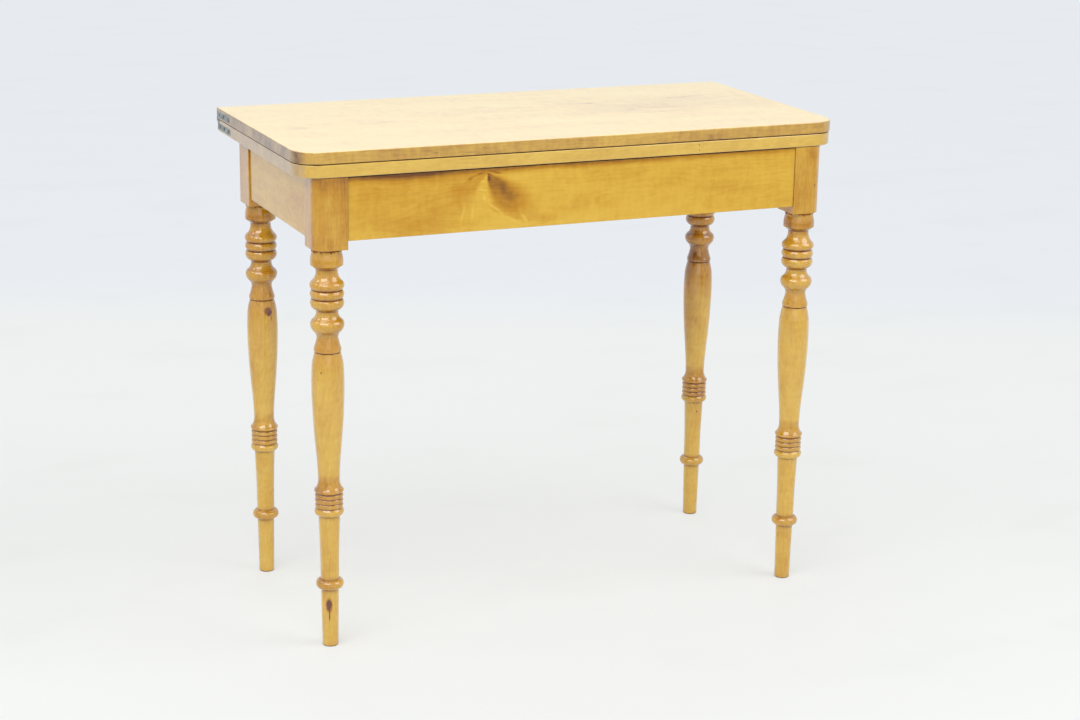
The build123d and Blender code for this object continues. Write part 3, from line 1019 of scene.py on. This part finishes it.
@dataclass
class Ironwork:
    """Hinge plates and pins, the pivot and all screws and nails."""

    def build(self) -> None:
        """Dress everything of iron."""
        tints = Tint(158, 164, 162), Tint(122, 128, 126), Tint(112, 100, 88)
        hinge = IronFinish("hinge_iron_dull", *tints, rust_share=0.2, metal=0.45)
        tints = Tint(84, 84, 86), Tint(52, 52, 55), Tint(96, 60, 38)
        pivot = IronFinish("pivot_iron_black", *tints, rust_share=0.5, roughness=0.5)
        tints = Tint(70, 70, 72), Tint(40, 40, 42), Tint(88, 56, 36)
        fixing = IronFinish("fixing_iron", *tints, rust_share=0.6, roughness=0.5)
        levels, sides = ("upper", "lower"), ("right", "left")
        plates = [f"{side}_{level}_hinge_plate" for side in sides for level in levels]
        screws = ["upper_hinge_screws", "lower_hinge_screws", "pivot_plate_screws", "stop_screws"]
        dress(plates + ["right_hinge_pin", "left_hinge_pin"], hinge.make())
        dress(["pivot_plate", "pivot_bolt", "pivot_washer", "pivot_nut"], pivot.make())
        dress(screws + ["ledger_nails"], fixing.make())


@dataclass
class NailHeads:
    """The domed heads of the nails that hold the ledgers of the card well."""

    radius: float = 0.0026
    height: float = 0.0009
    rings: int = 5
    sides: int = 20
    weld: float = 1e-6

    def nail_ends(self) -> list[tuple[Vector, Vector]]:
        """Where the nails come out of the ledgers.

        Returns:
            For each nail its end, and the direction in which it looks.
        """
        mesh = bmesh.new()
        mesh.from_mesh(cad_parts["ledger_nails"].data)
        bmesh.ops.remove_doubles(mesh, verts=mesh.verts[:], dist=self.weld)
        left, ends = set(mesh.verts), []
        while left:
            edge, island = [left.pop()], []
            while edge:
                vertex = edge.pop()
                island.append(vertex.co.copy())
                near = {e.other_vert(vertex) for e in vertex.link_edges} & left
                left -= near
                edge += list(near)
            low = Vector([min(point[axis] for point in island) for axis in range(3)])
            high = Vector([max(point[axis] for point in island) for axis in range(3)])
            middle = (low + high) / 2
            along = Vector((1, 0, 0)) if high.x - low.x > high.y - low.y else Vector((0, 1, 0))
            look = -along if middle.dot(along) > 0 else along
            ends.append((middle + look * (high - low).dot(along) / 2, look))
        mesh.free()
        return sorted(ends, key=lambda end: tuple(end[0]))

    def build(self) -> None:
        """Set a hammered dome on every nail."""
        points, faces = [], []
        for end, look in self.nail_ends():
            turn = look.to_track_quat("Z", "Y").to_matrix()
            first = len(points)
            for ring in range(self.rings):
                slope = ring / self.rings * math.pi / 2
                reach, rise = self.radius * math.cos(slope), self.height * math.sin(slope)
                for side in range(self.sides):
                    angle = 2 * math.pi * side / self.sides
                    spoke = Vector((reach * math.cos(angle), reach * math.sin(angle), rise))
                    points.append(end + turn @ spoke)
            top = len(points)
            points.append(end + look * self.height)
            for start in range(first, top, self.sides):
                for side in range(self.sides):
                    here, beside = start + side, start + (side + 1) % self.sides
                    if start + self.sides < top:
                        faces.append((here, beside, beside + self.sides, here + self.sides))
                    else:
                        faces.append((here, beside, top))
            faces.append(tuple(first + side for side in reversed(range(self.sides))))
        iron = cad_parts["ledger_nails"].material_slots[0].material
        heads = new_piece("ledger_nail_heads", points, faces, iron)
        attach(heads, "frame")


@dataclass(frozen=True)
class SoftBox:
    """A flat lamp above the table, placed from the viewer's side."""

    name: str
    aside: float
    nearer: float
    height: float
    width: float
    length: float
    watts: float
    round_one: bool = False


@dataclass
class Studio:
    """A pale floor, soft light and the camera.

    Each range says where a soft change begins and ends, in metres from the table, and each glow
    how much of its plain colour the floor shows without shadow.
    """

    floor_radius: float = 16.0
    floor_tint: Tint = Tint(241, 243, 242)
    far_tint: Tint = Tint(236, 240, 245)
    scuff_tint: Tint = Tint(216, 219, 214)
    far_range: tuple[float, float] = (1.8, 3.2)
    away_range: tuple[float, float] = (1.4, 2.1)
    behind_range: tuple[float, float] = (-0.3, 0.9)
    near_glow: float = 0.4
    far_glow: float = 0.5
    mirrored_glow: float = 0.9
    sky_tint: Tint = Tint(235, 239, 243)
    sky_strength: float = 0.46
    lamp_aim: tuple[float, float, float] = (0.0, 0.0, 0.5)
    yaw: float = 0.414246
    pitch: float = 0.276386
    roll: float = 0.01671
    lens: float = 74.36
    sensor: float = 36.0
    camera_place: tuple[float, float, float] = (-1.38761, -3.22375, 1.36044)
    lamps: tuple[SoftBox, ...] = (
        SoftBox("wide_lamp", -0.98, 2.15, 2.4, 2.6, 1.2, 38.0),
        SoftBox("round_lamp", 1.95, 0.6, 2.04, 1.9, 1.9, 23.0, True),
        SoftBox("left_lamp", -2.43, 0.4, 2.36, 0.8, 0.6, 5.0),
        SoftBox("fill_lamp", 0.3, 3.6, 1.2, 2.4, 1.2, 5.0),
        SoftBox("high_lamp", -0.6, 1.2, 3.1, 2.8, 0.8, 11.0),
        SoftBox("back_lamp", -0.3, -1.9, 3.0, 2.2, 1.6, 11.0),
    )

    def floor_material(self) -> bpy.types.Material:
        """Finish of the floor: pale paint with faint scuffs, cooler far off.

        Returns:
            The material.
        """
        material = bpy.data.materials.new("pale_floor")
        graph = ShaderGraph(material)
        place = graph.add("ShaderNodeTexCoord", {}).outputs["Object"]
        onward = (math.sin(self.yaw), math.cos(self.yaw), 0.0)
        ahead = graph.vector("DOT_PRODUCT", place, onward)
        distant = graph.step(graph.vector("LENGTH", place), *self.far_range)
        away = graph.math("MAXIMUM", graph.step(ahead, *self.away_range), distant)
        behind = graph.step(ahead, *self.behind_range)
        colour = graph.mix(away, self.floor_tint.light(), self.far_tint.light())
        scuff = graph.step(graph.noise(place, (0.35, 0.22, 1.0), 6.0), 0.5, 0.75)
        colour = graph.mix(graph.product(scuff, 0.1), colour, self.scuff_tint.light())
        plain = graph.add("ShaderNodeBsdfPrincipled", {"Base Color": colour, "Roughness": 0.7})
        bright = graph.add("ShaderNodeEmission", {"Color": colour, "Strength": 1.0})
        rays = graph.add("ShaderNodeLightPath", {}).outputs
        open_floor = graph.math("MAXIMUM", behind, distant)
        bare = graph.math("MULTIPLY_ADD", open_floor, self.far_glow, self.near_glow)
        shown = graph.product(rays["Is Camera Ray"], bare)
        mirrored = graph.product(rays["Is Glossy Ray"], behind, self.mirrored_glow)
        share = graph.math("MAXIMUM", shown, mirrored)
        both = {0: share, 1: plain.outputs[0], 2: bright.outputs[0]}
        mixed = graph.add("ShaderNodeMixShader", both)
        graph.add("ShaderNodeOutputMaterial", {"Surface": mixed.outputs[0]})
        return material

    def build_floor(self) -> None:
        """Lay the floor."""
        disc = bmesh.new()
        bmesh.ops.create_circle(disc, cap_ends=True, radius=self.floor_radius, segments=128)
        mesh = bpy.data.meshes.new("floor")
        disc.to_mesh(mesh)
        disc.free()
        mesh.materials.append(self.floor_material())
        floor = bpy.data.objects.new("floor", mesh)
        bpy.context.scene.collection.objects.link(floor)
        log.info("laid the floor")

    def light_sky(self) -> None:
        """Surround the scene with even light, brighter where it is looked at or mirrored."""
        world = bpy.data.worlds.new("studio")
        bpy.context.scene.world = world
        graph = ShaderGraph(world)
        rays = graph.add("ShaderNodeLightPath", {}).outputs
        kinds = ("Is Camera Ray", "Is Glossy Ray", "Is Transmission Ray")
        seen = graph.total(*(rays[kind] for kind in kinds))
        light = {"Color": (1.0, 1.0, 1.0, 1.0), "Strength": self.sky_strength}
        lighting = graph.add("ShaderNodeBackground", light).outputs[0]
        shown = graph.add("ShaderNodeBackground", {"Color": self.sky_tint.light()}).outputs[0]
        mixed = graph.add("ShaderNodeMixShader", {0: seen, 1: lighting, 2: shown})
        graph.add("ShaderNodeOutputWorld", {"Surface": mixed.outputs[0]})
        log.info("lit the sky")

    def hang_lamps(self) -> None:
        """Hang the lamps, each turned to the middle of the table."""
        level = Vector((math.cos(self.yaw), -math.sin(self.yaw), 0))
        nearer = Vector((-math.sin(self.yaw), -math.cos(self.yaw), 0))
        for lamp in self.lamps:
            light = bpy.data.lights.new(lamp.name, "AREA")
            light.shape = "DISK" if lamp.round_one else "RECTANGLE"
            light.size, light.size_y, light.energy = lamp.width, lamp.length, lamp.watts
            holder = bpy.data.objects.new(lamp.name, light)
            above = Vector((0, 0, lamp.height))
            holder.location = lamp.aside * level + lamp.nearer * nearer + above
            aim = Vector(self.lamp_aim) - holder.location
            holder.rotation_euler = aim.to_track_quat("-Z", "Y").to_euler()
            bpy.context.scene.collection.objects.link(holder)
            log.info("hung %s", lamp.name)

    def set_camera(self) -> None:
        """Stand the camera where the view is taken from."""
        level = Vector((math.cos(self.yaw), -math.sin(self.yaw), 0))
        ahead = Vector((
            math.sin(self.yaw) * math.cos(self.pitch),
            math.cos(self.yaw) * math.cos(self.pitch),
            -math.sin(self.pitch),
        ))
        right = math.cos(self.roll) * level + math.sin(self.roll) * level.cross(ahead)
        up = right.cross(ahead)
        camera = bpy.data.objects.new("camera", bpy.data.cameras.new("camera"))
        camera.data.lens = self.lens
        camera.data.sensor_width = self.sensor
        turned = Matrix((right, up, -ahead)).transposed().to_4x4()
        camera.matrix_world = Matrix.Translation(self.camera_place) @ turned
        bpy.context.scene.collection.objects.link(camera)
        bpy.context.scene.camera = camera
        bpy.context.scene.view_settings.view_transform = "Standard"
        log.info("set the camera")

    def build(self) -> None:
        """Set up floor, light and camera."""
        self.build_floor()
        self.light_sky()
        self.hang_lamps()
        self.set_camera()


def main() -> None:
    """Build every sub-assembly in order."""
    logging.basicConfig(level=logging.INFO, format="%(message)s")
    assemblies = (
        Studio(),
        TopLeaves(),
        ApronFrame(),
        TurnedLegs(),
        TornShoulders(),
        CardWell(),
        Ironwork(),
        NailHeads(),
    )
    for assembly in assemblies:
        log.info("building %s", type(assembly).__name__)
        assembly.build()


if __name__ == "__main__":
    main()
